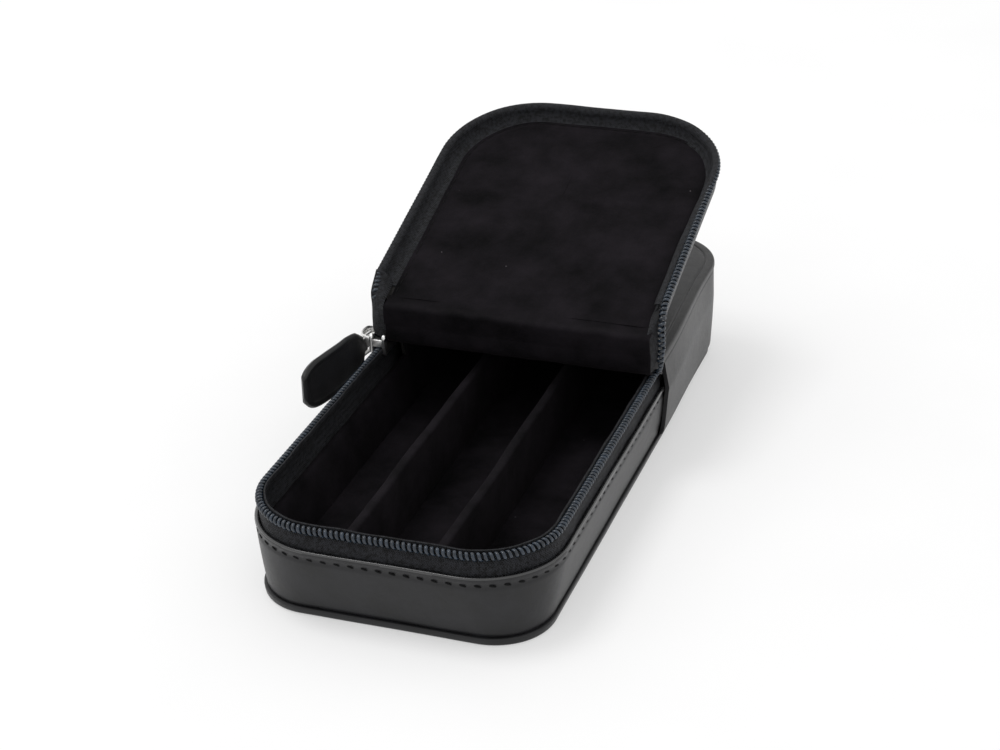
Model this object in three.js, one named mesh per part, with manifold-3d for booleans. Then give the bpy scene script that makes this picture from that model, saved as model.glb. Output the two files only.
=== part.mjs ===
import * as THREE from "three";
import { mergeVertices } from "three/addons/utils/BufferGeometryUtils.js";
import Module from "manifold-3d";

// A zipped leather case for three pens. The rear half of its top is fixed, and the front half is a
// lid that folds back over it on a short leather spine, once the zip round the front is undone.
// Millimetres, +Z up, +Y towards the rear. The origin is the middle of the base's underside.

const wasm = await Module();
wasm.setup();

// The shell
const caseWidth = 80;
const caseLength = 181.2;
const topHeight = 30.2;
const rimHeight = 19.6;
const rimCorner = 22;
const footInset = 3.5;
const cornerTightening = 2.3;
const topLean = 0.11;

// Sheet thicknesses and the gap that keeps neighbouring pieces apart
const leather = 1.1;
const panelLeather = 2.1;
const board = 0.8;
const velvet = 0.6;
const gap = 0.3;

// Zip
const tapeThickness = 0.6;
const coilRadius = 1.1;
const coilDrop = 4.5;
const coilInset = 0.25;
const tapeFoot = 9;
const coilMesh = 1.2;
const stopLength = 3;

// Sleeve that wraps the rear half
const sleeveFront = 12.5;
const sleeveOverlap = 5;

// Pen channels
const liningTop = 16;
const dividerSpacing = 23.4;
const dividerHeight = 16.5;
const coverThickness = 0.7;

// Spine and lid, as they stand when the case is open
const rearFoldY = 5.9;
const spineLength = 5.8;
const spineAngle = 100;
const lidAngle = 16.5;
const lidHalfWidth = 41.2;
const lidCorner = 23.8;
const lidLeather = 0.9;
const lidRimDepth = 2.5;
const lidBorder = 4.4;
const lidFlexWidth = 2.6;
const lidCoilHeight = 2.9;
const lidFrontGap = 0.3;

// Slider and its pull
const sliderFront = 2.6;
const sliderLength = 9;
const sliderWidth = 7.6;
const plateThickness = 1;
const plateGap = 3.2;
const bridgeWidth = 2;
const bridgeOpening = 2.2;
const bridgeWall = 0.8;
const linkWire = 1.2;
const linkWidth = 6.2;
const linkLength = 8;
const barOffset = -0.9;
const pullAngle = 10;
const tabLength = 27;
const tabWidth = 14.2;
const tabThickness = 2.4;

const cornerSteps = 8;
const coilSides = 8;

const floorBottom = panelLeather + gap + board + gap;
const floorTop = floorBottom + velvet;

// ---- Outlines ------------------------------------------------------------------------------

// How far the wall stands inside the rim at height z: it draws in below the rim and a little above
function wallLean(z) {
  if (z < rimHeight) return footInset * (1 - z / rimHeight);
  return topLean * (z - rimHeight);
}

const shell = {
  halfWidth: caseWidth / 2,
  front: -caseLength / 2,
  rear: caseLength / 2,
  corner: rimCorner,
  lean: wallLean,
};

function cornerArc(sideX, sideY, fromDegrees) {
  return Array.from({ length: cornerSteps + 1 }, (_, step) => {
    const angle = THREE.MathUtils.degToRad(fromDegrees + (90 * step) / cornerSteps);
    return { sideX, sideY, x: Math.cos(angle), y: Math.sin(angle) };
  });
}

const seamAt = (sideX, y) => ({ sideX, seam: y });

// Runs round the outline, counter-clockwise from above
function frontRun(leftSeam, rightSeam) {
  return [
    seamAt(-1, leftSeam),
    ...cornerArc(-1, -1, 180),
    ...cornerArc(1, -1, 270),
    seamAt(1, rightSeam),
  ];
}

function rearRun(seam) {
  return [
    seamAt(1, seam),
    ...cornerArc(1, 1, 0),
    ...cornerArc(-1, 1, 90),
    seamAt(-1, seam),
  ];
}

function pointOn(outline, station, inset, z) {
  const lean = outline.lean(z);
  const half = outline.halfWidth - inset - lean;
  if (station.seam !== undefined) {
    return new THREE.Vector3(station.sideX * half, station.seam, z);
  }
  const radius = Math.max(outline.corner - inset - cornerTightening * lean, 1);
  const end = station.sideY < 0 ? outline.front + inset + lean : outline.rear - inset - lean;
  return new THREE.Vector3(
    station.sideX * (half - radius) + radius * station.x,
    end - station.sideY * radius + radius * station.y,
    z,
  );
}

// A strip of the given section, [inset, height] points, carried along a run of the outline
function sweep(outline, run, section) {
  const flat = section.map(([inset, z]) => new THREE.Vector2(-inset, z));
  const points = THREE.ShapeUtils.area(flat) < 0 ? flat.reverse() : flat;
  const count = points.length;
  const positions = run.flatMap((station) =>
    points.flatMap((p) => pointOn(outline, station, -p.x, p.y).toArray()),
  );
  const faces = [];
  for (let k = 0; k + 1 < run.length; k++) {
    for (let j = 0; j < count; j++) {
      const a = k * count + j;
      const b = k * count + ((j + 1) % count);
      faces.push(a, a + count, b + count, a, b + count, b);
    }
  }
  const last = (run.length - 1) * count;
  for (const [a, b, c] of THREE.ShapeUtils.triangulateShape(points, [])) {
    faces.push(a, b, c, last + a, last + c, last + b);
  }
  const geometry = new THREE.BufferGeometry();
  geometry.setAttribute("position", new THREE.Float32BufferAttribute(positions, 3));
  geometry.setIndex(faces);
  geometry.computeVertexNormals();
  return geometry;
}

// A section of constant thickness that follows the wall between two heights
function wallSection(outerInset, thickness, low, high, roll = 0) {
  const inner = outerInset + thickness;
  const crossesRim = low < rimHeight && high > rimHeight;
  const breaks = crossesRim ? [rimHeight] : [];
  return [
    [outerInset, low],
    ...breaks.map((z) => [outerInset, z]),
    [outerInset, high - roll],
    [outerInset + roll, high],
    [inner - roll, high],
    [inner, high - roll],
    ...breaks.map((z) => [inner, z]),
    [inner, low],
  ].filter(([inset, z], i, all) => {
    const [nextInset, nextZ] = all[(i + 1) % all.length];
    return inset !== nextInset || z !== nextZ;
  });
}

function coilSection(inset, z) {
  return Array.from({ length: coilSides }, (_, side) => {
    const angle = ((side + 0.5) * 2 * Math.PI) / coilSides;
    return [inset + coilRadius * Math.cos(angle), z + coilRadius * Math.sin(angle)];
  });
}

// ---- Flat pieces ---------------------------------------------------------------------------

function panelShape(half, front, rear, frontRadius, rearRadius) {
  const turn = (sideX, sideY, radius, fromDegrees) => {
    const y = sideY < 0 ? front : rear;
    if (radius === 0) return [new THREE.Vector2(sideX * half, y)];
    const centreX = sideX * (half - radius);
    const centreY = y - sideY * radius;
    return cornerArc(sideX, sideY, fromDegrees).map(
      (step) => new THREE.Vector2(centreX + radius * step.x, centreY + radius * step.y),
    );
  };
  return new THREE.Shape([
    ...turn(1, -1, frontRadius, -90),
    ...turn(1, 1, rearRadius, 0),
    ...turn(-1, 1, rearRadius, 90),
    ...turn(-1, -1, frontRadius, 180),
  ]);
}

// A flat sheet from one height to another, with its edges eased by the given amount
function sheet(shape, low, high, ease = 0) {
  const geometry = new THREE.ExtrudeGeometry(shape, {
    depth: high - low - 2 * ease,
    curveSegments: cornerSteps,
    bevelEnabled: ease > 0,
    bevelThickness: ease,
    bevelSize: ease,
    bevelOffset: -ease,
    bevelSegments: 2,
  });
  return geometry.translate(0, 0, low + ease);
}

// A panel that fits inside the wall at height z
function wallPanel(inset, z, seam) {
  const lean = wallLean(z);
  const half = shell.halfWidth - inset - lean;
  const radius = Math.max(rimCorner - inset - cornerTightening * lean, 1);
  const front = seam === undefined ? shell.front + inset + lean : seam;
  const frontRadius = seam === undefined ? radius : 0;
  return panelShape(half, front, shell.rear - inset - lean, frontRadius, radius);
}

// A bar of constant XZ section along Y
function barAlongY(points, front, rear) {
  const shape = new THREE.Shape(points.map(([x, z]) => new THREE.Vector2(x, z)));
  const bar = new THREE.ExtrudeGeometry(shape, { depth: rear - front, bevelEnabled: false });
  return bar.rotateX(Math.PI / 2).translate(0, rear, 0);
}

function boxBetween(low, high) {
  const size = high.map((value, axis) => value - low[axis]);
  const middle = high.map((value, axis) => (value + low[axis]) / 2);
  return new THREE.BoxGeometry(...size).translate(...middle);
}

// ---- Joining and cutting -------------------------------------------------------------------

function solidOf(geometry) {
  const bare = geometry.clone();
  bare.deleteAttribute("normal");
  bare.deleteAttribute("uv");
  const merged = mergeVertices(bare, 1e-4);
  return new wasm.Manifold(
    new wasm.Mesh({
      numProp: 3,
      vertProperties: new Float32Array(merged.attributes.position.array),
      triVerts: new Uint32Array(merged.index.array),
    }),
  );
}

function geometryOf(solid) {
  const mesh = solid.getMesh();
  const geometry = new THREE.BufferGeometry();
  geometry.setAttribute("position", new THREE.BufferAttribute(mesh.vertProperties, 3));
  geometry.setIndex(new THREE.BufferAttribute(mesh.triVerts, 1));
  geometry.computeVertexNormals();
  return geometry;
}

const joined = (pieces) => geometryOf(pieces.map(solidOf).reduce((all, next) => all.add(next)));

// ---- Materials -----------------------------------------------------------------------------

const finishes = {
  leather: { color: 0x17171a, roughness: 0.42, metalness: 0 },
  velvet: { color: 0x141216, roughness: 0.95, metalness: 0 },
  board: { color: 0x1b1a19, roughness: 0.9, metalness: 0 },
  tape: { color: 0x121316, roughness: 0.85, metalness: 0 },
  coil: { color: 0x20242c, roughness: 0.4, metalness: 0 },
  nickel: { color: 0xc9cacd, roughness: 0.22, metalness: 1 },
};

function addPiece(group, name, finish, geometry) {
  const mesh = new THREE.Mesh(geometry, new THREE.MeshStandardMaterial(finishes[finish]));
  mesh.name = name;
  group.add(mesh);
  return mesh;
}

const penCase = new THREE.Group();

// ---- Base ----------------------------------------------------------------------------------

const footEdge = -0.8;
const boardInset = leather + gap + tapeThickness + gap;
const liningInset = boardInset + board + gap;
const floorInset = liningInset + velvet + gap;

addPiece(penCase, "base_leather", "leather", sheet(wallPanel(footEdge, 0), 0, panelLeather, 0.6));
const baseBoardLow = panelLeather + gap;
const baseBoard = sheet(wallPanel(boardInset, baseBoardLow), baseBoardLow, baseBoardLow + board);
addPiece(penCase, "base_board", "board", baseBoard);
const floorLining = sheet(wallPanel(floorInset, floorBottom), floorBottom, floorTop);
addPiece(penCase, "floor_lining", "velvet", floorLining);

// ---- Front wall ----------------------------------------------------------------------------

const wallFoot = panelLeather + gap;
const liningFoot = floorBottom;
const frontSeam = sleeveFront + sleeveOverlap;
const frontWall = frontRun(frontSeam, frontSeam);

addPiece(
  penCase,
  "front_wall_leather",
  "leather",
  sweep(shell, frontWall, wallSection(0, leather, wallFoot, rimHeight, 0.4)),
);
const boardFoot = baseBoardLow + board + gap;
const frontBoard = sweep(shell, frontWall, wallSection(boardInset, board, boardFoot, liningTop - gap));
addPiece(penCase, "front_wall_board", "board", frontBoard);
const frontLining = wallSection(liningInset, velvet, liningFoot, liningTop, 0.15);
addPiece(penCase, "front_wall_lining", "velvet", sweep(shell, frontWall, frontLining));

// ---- Rear sleeve ---------------------------------------------------------------------------

const topUnderside = topHeight - panelLeather;
const sleeveTop = topUnderside - gap;
const rearSeam = frontSeam + gap;
const sleeveSection = wallSection(-leather - gap, leather, wallFoot, sleeveTop);
addPiece(penCase, "rear_sleeve_leather", "leather", sweep(shell, rearRun(sleeveFront), sleeveSection));
const topBoardLow = topUnderside - gap - board;
const topLiningLow = topBoardLow - gap - velvet;
const rearBoard = wallSection(boardInset, board, boardFoot, topLiningLow - gap);
addPiece(penCase, "rear_wall_board", "board", sweep(shell, rearRun(rearSeam), rearBoard));
const rearLining = wallSection(liningInset, velvet, liningFoot, topLiningLow - gap);
addPiece(penCase, "rear_wall_lining", "velvet", sweep(shell, rearRun(rearSeam), rearLining));

// ---- Fixed rear top ------------------------------------------------------------------------

const foldClearance = 0.15;
const flexWidth = 6.2;
const topEdgeInset = -leather - gap - 0.2;
addPiece(
  penCase,
  "rear_top_leather",
  "leather",
  sheet(wallPanel(topEdgeInset, topUnderside, rearFoldY + foldClearance), topUnderside, topHeight),
);
const topBoardShape = wallPanel(gap, topBoardLow, rearFoldY + flexWidth);
addPiece(
  penCase,
  "rear_top_board",
  "board",
  sheet(topBoardShape, topBoardLow, topBoardLow + board),
);
addPiece(
  penCase,
  "rear_top_lining",
  "velvet",
  sheet(wallPanel(boardInset, topLiningLow, rearFoldY + flexWidth), topLiningLow, topLiningLow + velvet),
);

// ---- Pen channels --------------------------------------------------------------------------

const ridge = floorTop + dividerHeight;
const dividerFoot = floorTop + gap;
const dividerEnd = caseLength / 2 - wallLean(dividerFoot) - floorInset - gap;
const coreHalf = board / 2;
const coverSlot = coreHalf + gap;
const coverHalf = coverSlot + coverThickness;
for (const [side, name] of [
  [-1, "left"],
  [1, "right"],
]) {
  const x = (side * dividerSpacing) / 2;
  const core = boxBetween(
    [x - coreHalf, -dividerEnd, dividerFoot],
    [x + coreHalf, dividerEnd, ridge - coverThickness - gap],
  );
  addPiece(penCase, `divider_${name}_core`, "board", core);
  const cover = [
    [x - coverHalf, dividerFoot],
    [x - coverSlot, dividerFoot],
    [x - coverSlot, ridge - coverThickness],
    [x + coverSlot, ridge - coverThickness],
    [x + coverSlot, dividerFoot],
    [x + coverHalf, dividerFoot],
    [x + coverHalf, ridge - coverThickness],
    [x + coverSlot, ridge],
    [x - coverSlot, ridge],
    [x - coverHalf, ridge - coverThickness],
  ];
  const velvetCover = barAlongY(cover, -dividerEnd, dividerEnd);
  addPiece(penCase, `divider_${name}_velvet`, "velvet", velvetCover);
}

// ---- Zip on the tray -----------------------------------------------------------------------

const coilTop = topHeight - coilDrop;
const coilCentreZ = coilTop - coilRadius;
const coilCentreInset = coilInset + coilRadius;
const coilEnd = sliderFront + sliderLength + 0.9;
const tapeInset = leather + gap;
const tapeTop = coilTop - 2 * coilRadius - gap;
const tapeEnd = sleeveFront + 1;
const trayTape = wallSection(tapeInset, tapeThickness, tapeFoot, tapeTop);
addPiece(penCase, "tray_zip_tape", "tape", sweep(shell, frontRun(tapeEnd, tapeEnd), trayTape));
addPiece(
  penCase,
  "tray_zip_coil",
  "coil",
  sweep(shell, frontRun(coilEnd, sleeveFront), coilSection(coilCentreInset, coilCentreZ)),
);
const coilX = shell.halfWidth - coilCentreInset - wallLean(coilCentreZ);
for (const [side, name, end] of [
  [-1, "left", coilEnd],
  [1, "right", sleeveFront],
]) {
  const reach = coilRadius + 0.2;
  const stop = boxBetween(
    [side * coilX - reach, end + gap, coilCentreZ - coilRadius],
    [side * coilX + reach, end + gap + stopLength, coilCentreZ + coilRadius],
  );
  addPiece(penCase, `zip_stop_${name}`, "nickel", stop);
}

// ---- Spine ---------------------------------------------------------------------------------

// The group stands at the rear fold, with its own +Y along the spine and its outer face at z = 0
const spine = new THREE.Group();
spine.position.set(0, rearFoldY, topHeight);
spine.rotation.x = THREE.MathUtils.degToRad(spineAngle);
penCase.add(spine);

const spineHalf = shell.halfWidth - wallLean(topHeight);
const spineSheet = (half, low, thickness) => {
  const shape = panelShape(half, foldClearance, spineLength - foldClearance, 0, 0);
  return sheet(shape, low, low + thickness);
};
addPiece(spine, "spine_leather", "leather", spineSheet(spineHalf, 0, leather));
const spineLining = spineSheet(spineHalf - lidBorder + coilRadius, leather + gap, velvet);
addPiece(spine, "spine_lining", "velvet", spineLining);

// ---- Lid -----------------------------------------------------------------------------------

// The group stands at the front fold, with its own +Y towards the lid's free end, its outer face
// at z = 0 and its lining above that
const lid = new THREE.Group();
lid.position.set(0, spineLength, 0);
lid.rotation.x = THREE.MathUtils.degToRad(lidAngle - spineAngle);
spine.add(lid);

const lidBoardLow = lidLeather + gap;
const lidLiningLow = lidBoardLow + board + gap;
const lidLiningTop = lidLiningLow + velvet;
const lidCoilZ = lidLiningTop + lidCoilHeight;

// Closed, the lid lies lidRise above the fixed top, so that its coil meshes with the tray's
const lidRise = coilCentreZ + coilMesh + lidCoilZ - topHeight;
const closedFoldY = rearFoldY - Math.sqrt(spineLength ** 2 - lidRise ** 2);
const lidReach = closedFoldY + caseLength / 2 - coilInset - wallLean(coilCentreZ) - lidFrontGap;
const lidOutline = {
  halfWidth: lidHalfWidth,
  rear: lidReach,
  corner: lidCorner,
  lean: () => 0,
};
const lidRun = (start) => rearRun(start);
const lidPanel = (inset, start) =>
  panelShape(lidHalfWidth - inset, start, lidReach - inset, 0, Math.max(lidCorner - inset, 1));

const lidSkinInset = 1.5;
const lidTapeLow = lidLeather + gap;
const lidTapeFootInset = lidSkinInset + leather + gap;

const skin = sheet(lidPanel(lidSkinInset, foldClearance), 0, lidLeather);
const rim = sweep(lidOutline, lidRun(foldClearance), [
  [lidSkinInset, 0.2],
  [lidSkinInset, lidRimDepth],
  [lidSkinInset + leather, lidRimDepth],
  [lidSkinInset + leather, 0.2],
]);
addPiece(lid, "lid_leather", "leather", joined([skin, rim]));
const lidBoardInset = lidTapeFootInset + tapeThickness + gap;
addPiece(
  lid,
  "lid_board",
  "board",
  sheet(lidPanel(lidBoardInset, foldClearance + lidFlexWidth), lidBoardLow, lidBoardLow + board),
);
addPiece(
  lid,
  "lid_lining",
  "velvet",
  sheet(lidPanel(lidBorder, foldClearance), lidLiningLow, lidLiningTop),
);

// The tape leaves the panel's edge square, then flares out to the coil
const tapeBend = lidLiningTop - velvet;
const tapeEndZ = lidCoilZ - coilRadius - gap;
addPiece(
  lid,
  "lid_zip_tape",
  "tape",
  sweep(lidOutline, lidRun(1), [
    [lidTapeFootInset, lidTapeLow],
    [lidTapeFootInset, tapeBend],
    [coilRadius - tapeThickness / 2, tapeEndZ],
    [coilRadius + tapeThickness / 2, tapeEndZ],
    [lidTapeFootInset + tapeThickness, tapeBend],
    [lidTapeFootInset + tapeThickness, lidTapeLow],
  ]),
);
addPiece(lid, "lid_zip_coil", "coil", sweep(lidOutline, lidRun(1), coilSection(coilRadius, lidCoilZ)));

// ---- Slider --------------------------------------------------------------------------------

// The group stands on the tray's left coil, at the front end of the slider. Its own +X points
// out of the case, +Y to the rear of the slider and +Z up.
const slider = new THREE.Group();
slider.position.set(-coilX, sliderFront, coilCentreZ);
slider.rotation.z = Math.PI;
penCase.add(slider);

// In the turned group, y runs from the nose at 0 to the tail at -sliderLength
const plateInner = plateGap / 2;
const plateOuter = plateInner + plateThickness;
const noseHalf = sliderWidth / 2;
const tailHalf = sliderWidth / 2 - 1;
const plateOutline = [
  [0, -noseHalf + 1],
  [0, noseHalf - 1],
  [-1, noseHalf],
  [-sliderLength / 2, tailHalf + 0.4],
  [-sliderLength + 0.8, tailHalf],
  [-sliderLength, tailHalf - 0.8],
  [-sliderLength, -tailHalf + 0.8],
  [-sliderLength + 0.8, -tailHalf],
  [-sliderLength / 2, -tailHalf - 0.4],
  [-1, -noseHalf],
];

// A flat plate whose outline lies in the YZ plane, from one x to another
function platePiece(outline, low, high) {
  const shape = new THREE.Shape(outline.map(([y, z]) => new THREE.Vector2(y, z)));
  const plate = new THREE.ExtrudeGeometry(shape, { depth: high - low, bevelEnabled: false });
  const toYZ = new THREE.Matrix4().makeBasis(
    new THREE.Vector3(0, 1, 0),
    new THREE.Vector3(0, 0, 1),
    new THREE.Vector3(1, 0, 0),
  );
  return plate.applyMatrix4(toYZ).translate(low, 0, 0);
}

const postLow = coilRadius + gap;
const flangeDepth = 0.9;
const flange = (side) =>
  boxBetween(
    [side > 0 ? plateInner - flangeDepth : -plateInner - 0.3, -sliderLength + 1, -tailHalf],
    [side > 0 ? plateInner + 0.3 : -plateInner + flangeDepth, -1.5, -tailHalf + 0.7],
  );
addPiece(
  slider,
  "slider_body",
  "nickel",
  joined([
    platePiece(plateOutline, plateInner, plateOuter),
    platePiece(plateOutline, -plateOuter, -plateInner),
    boxBetween([-plateInner - 0.3, -2, postLow], [plateInner + 0.3, -0.3, noseHalf - 1.1]),
    flange(1),
    flange(-1),
  ]),
);

// The bridge arches along the outer plate, and the link's bar turns under it
const bridgeFront = -1;
const bridgeRear = -sliderLength + 1.6;
const bridgeFoot = plateOuter + gap;
const bridgeInside = plateOuter + bridgeOpening;
const bridgeOutside = bridgeInside + bridgeWall;
const archSection = new THREE.Shape(
  [
    [bridgeFoot, bridgeFront],
    [bridgeInside, bridgeFront],
    [bridgeOutside, bridgeFront - bridgeWall],
    [bridgeOutside, bridgeRear + bridgeWall],
    [bridgeInside, bridgeRear],
    [bridgeFoot, bridgeRear],
    [bridgeFoot, bridgeRear + bridgeWall],
    [bridgeInside, bridgeRear + 1.6 * bridgeWall],
    [bridgeInside, bridgeFront - 1.6 * bridgeWall],
    [bridgeFoot, bridgeFront - bridgeWall],
  ].map(([x, y]) => new THREE.Vector2(x, y)),
);
const arch = new THREE.ExtrudeGeometry(archSection, { depth: bridgeWidth, bevelEnabled: false });
addPiece(slider, "slider_bridge", "nickel", arch.translate(0, 0, -bridgeWidth / 2));

// ---- Pull ----------------------------------------------------------------------------------

// The group turns about the link's bar. Its own +X runs out along the pull.
const pull = new THREE.Group();
const barX = plateOuter + bridgeOpening / 2;
const barY = (bridgeFront + bridgeRear) / 2 + barOffset;
pull.position.set(barX, barY, 0);
pull.rotation.z = THREE.MathUtils.degToRad(90 - pullAngle);
slider.add(pull);

const linkHalf = linkWidth / 2;
const linkHole = linkHalf - linkWire;
const ring = new THREE.Shape();
ring.setFromPoints([
  new THREE.Vector2(-linkWire / 2, -linkHalf),
  new THREE.Vector2(linkLength - 0.8, -linkHalf),
  new THREE.Vector2(linkLength, -linkHalf + 0.8),
  new THREE.Vector2(linkLength, linkHalf - 0.8),
  new THREE.Vector2(linkLength - 0.8, linkHalf),
  new THREE.Vector2(-linkWire / 2, linkHalf),
]);
const ringHole = new THREE.Path();
ringHole.setFromPoints([
  new THREE.Vector2(linkWire / 2, -linkHole),
  new THREE.Vector2(linkLength - linkWire, -linkHole),
  new THREE.Vector2(linkLength - linkWire, linkHole),
  new THREE.Vector2(linkWire / 2, linkHole),
]);
ring.holes.push(ringHole);
// Drawn flat in XY, then stood up so that the ring's width runs along Z
function standing(shape, thickness) {
  const flat = new THREE.ExtrudeGeometry(shape, {
    depth: thickness,
    curveSegments: 6,
    bevelEnabled: false,
  });
  return flat.translate(0, 0, -thickness / 2).rotateX(Math.PI / 2);
}
addPiece(pull, "pull_link", "nickel", standing(ring, linkWire));

// The leather strip loops through the ring, widens past it and ends in a slanted, rounded edge
const tongueHalf = linkHole - gap;
const tabStart = linkLength - linkWire - gap - 1.3;
const tabRoot = linkLength + gap;
const tabHalf = tabWidth / 2;
const tabEnd = linkLength + tabLength - linkWire;
const tabShape = new THREE.Shape();
tabShape.moveTo(tabStart, -tongueHalf);
tabShape.lineTo(tabRoot, -tongueHalf);
tabShape.lineTo(tabRoot + 0.4, -tabHalf * 0.62);
tabShape.lineTo(tabRoot + 7, -tabHalf);
tabShape.lineTo(tabEnd - 5, -tabHalf);
tabShape.quadraticCurveTo(tabEnd - 0.5, -tabHalf, tabEnd, -tabHalf + 4.5);
tabShape.lineTo(tabEnd - 0.8, tabHalf - 4);
tabShape.quadraticCurveTo(tabEnd - 1.5, tabHalf, tabEnd - 5.5, tabHalf);
tabShape.lineTo(tabRoot + 7, tabHalf);
tabShape.lineTo(tabRoot + 0.4, tabHalf * 0.62);
tabShape.lineTo(tabRoot, tongueHalf);
tabShape.lineTo(tabStart, tongueHalf);
tabShape.closePath();
const tabSolid = solidOf(standing(tabShape, tabThickness));
const barChannel = boxBetween(
  [linkLength - linkWire - gap, -linkWire / 2 - gap, -tabHalf],
  [linkLength + gap, linkWire / 2 + gap, tabHalf],
);
addPiece(pull, "pull_tab_leather", "leather", geometryOf(tabSolid.subtract(solidOf(barChannel))));

export default penCase;
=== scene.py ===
import math

import bmesh
import bpy
import numpy as np
from mathutils import Matrix, Vector, noise


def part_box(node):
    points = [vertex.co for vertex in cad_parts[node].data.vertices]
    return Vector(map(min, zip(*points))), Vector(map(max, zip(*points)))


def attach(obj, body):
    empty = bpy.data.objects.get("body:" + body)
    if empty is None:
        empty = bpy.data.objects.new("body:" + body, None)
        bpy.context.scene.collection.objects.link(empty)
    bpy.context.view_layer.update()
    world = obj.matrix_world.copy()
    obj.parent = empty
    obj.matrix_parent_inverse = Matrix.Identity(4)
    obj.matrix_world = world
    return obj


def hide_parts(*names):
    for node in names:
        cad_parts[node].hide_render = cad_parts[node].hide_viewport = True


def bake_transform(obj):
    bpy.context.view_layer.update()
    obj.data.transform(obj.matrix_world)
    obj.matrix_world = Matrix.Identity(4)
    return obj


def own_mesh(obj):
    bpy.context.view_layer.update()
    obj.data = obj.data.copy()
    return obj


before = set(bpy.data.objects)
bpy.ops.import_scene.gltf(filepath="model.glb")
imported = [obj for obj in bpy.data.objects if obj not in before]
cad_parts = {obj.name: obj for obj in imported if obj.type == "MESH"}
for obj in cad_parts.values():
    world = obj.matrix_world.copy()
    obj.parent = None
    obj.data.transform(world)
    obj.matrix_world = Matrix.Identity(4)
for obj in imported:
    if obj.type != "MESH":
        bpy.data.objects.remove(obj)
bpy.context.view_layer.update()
mm = 0.001  # every size below is in millimetres, and meshes are scaled by this


def boxOf(node):  # a CAD node's lowest and highest corner at rest, in millimetres
    low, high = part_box(node)
    return low / mm, high / mm


# ---- colour and node helpers


def linear(hexColour):
    parts = [int(hexColour[i : i + 2], 16) / 255 for i in (1, 3, 5)]
    return (*[p / 12.92 if p <= 0.04045 else ((p + 0.055) / 1.055) ** 2.4 for p in parts], 1)


def addNode(tree, kind, inputs=None, **settings):  # a shader node with its settings and links
    node = tree.nodes.new("ShaderNode" + kind)
    for name, value in settings.items():
        setattr(node, name, value)
    for socket, value in (inputs or {}).items():
        if isinstance(value, bpy.types.NodeSocket):
            tree.links.new(value, node.inputs[socket])
        else:
            node.inputs[socket].default_value = value
    return node.outputs


def newMaterial(name, **sockets):  # a Principled material, with constants set on its own sockets
    material = bpy.data.materials.new(name)
    material.use_nodes = True
    tree = material.node_tree
    shader = next(n for n in tree.nodes if n.type == "BSDF_PRINCIPLED")
    for socket, value in sockets.items():
        shader.inputs[socket].default_value = value
    return material, tree, shader


def sizedNoise(tree, place, size, detail=3.0, rough=0.5):  # noise whose features are size mm across
    return addNode(
        tree,
        "TexNoise",
        {"Vector": place, "Scale": 1 / (size * mm), "Detail": detail, "Roughness": rough},
    )["Fac"]


def ramp(tree, value, stops):  # stops are (position, hex colour)
    out = addNode(tree, "ValToRGB", {"Fac": value})
    colours = out["Color"].node.color_ramp
    while len(colours.elements) < len(stops):
        colours.elements.new(0.5)
    for element, (position, colour) in zip(colours.elements, stops):
        element.position = position
        element.color = linear(colour)
    return out["Color"]


def spread(tree, value, low, high):  # 0..1 mapped to low..high
    return addNode(tree, "MapRange", {"Value": value, "To Min": low, "To Max": high})["Result"]


# ---- materials

calf = {
    "colour": "#161617",
    "worn": "#202023",
    "grain": 0.42,  # mm across one cell of the grain
    "grainDepth": 0.035,
    "crease": 5.5,
    "roughness": (0.34, 0.47),
}


def boxCalf(name, colour, worn, roughness, depth, specular, coat):
    # chrome tanned calf, plated smooth and finished with a thin resin coat: a fine grain with a soft gloss
    material, tree, shader = newMaterial(name)
    place = addNode(tree, "TexCoord")["Object"]
    blotch = sizedNoise(tree, place, 9.0, 4.0, 0.6)
    fine = sizedNoise(tree, place, 0.9, 3.0)
    cells = addNode(
        tree,
        "TexVoronoi",
        {"Vector": place, "Scale": 1 / (calf["grain"] * mm), "Randomness": 1.0},
        feature="DISTANCE_TO_EDGE",
    )["Distance"]
    tree.links.new(ramp(tree, blotch, [(0.35, colour), (0.72, worn)]), shader.inputs["Base Color"])
    tree.links.new(spread(tree, fine, *roughness), shader.inputs["Roughness"])
    pores = addNode(tree, "MapRange", {"Value": cells, "From Max": 0.12, "To Max": 1.0})["Result"]
    creases = sizedNoise(tree, place, calf["crease"], 5.0, 0.6)
    grainBump = addNode(
        tree, "Bump", {"Height": pores, "Strength": 0.3, "Distance": depth * mm}
    )["Normal"]
    softBump = addNode(
        tree,
        "Bump",
        {"Height": creases, "Strength": 0.35, "Distance": 0.35 * mm, "Normal": grainBump},
    )["Normal"]
    tree.links.new(softBump, shader.inputs["Normal"])
    shader.inputs["IOR"].default_value = 1.5
    shader.inputs["Specular IOR Level"].default_value = specular
    shader.inputs["Coat Weight"].default_value = coat
    shader.inputs["Coat Roughness"].default_value = 0.22
    return material


blackCalf = boxCalf("blackCalfLeather", calf["colour"], calf["worn"], calf["roughness"], calf["grainDepth"], 0.32, 0.06)
# edges dyed and burnished with wax: smoother and a little darker than the face
burnishedEdge = boxCalf("burnishedCalfEdge", "#151516", "#222224", (0.22, 0.32), 0.015, 0.7, 0.6)

plush = {
    "deep": "#050506",
    "brushed": "#1c191d",
    "nap": 14.0,  # mm across a patch of brushed pile
    "pile": 0.22,  # mm between tufts
    "lintEvery": 9.0,
}


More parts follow.
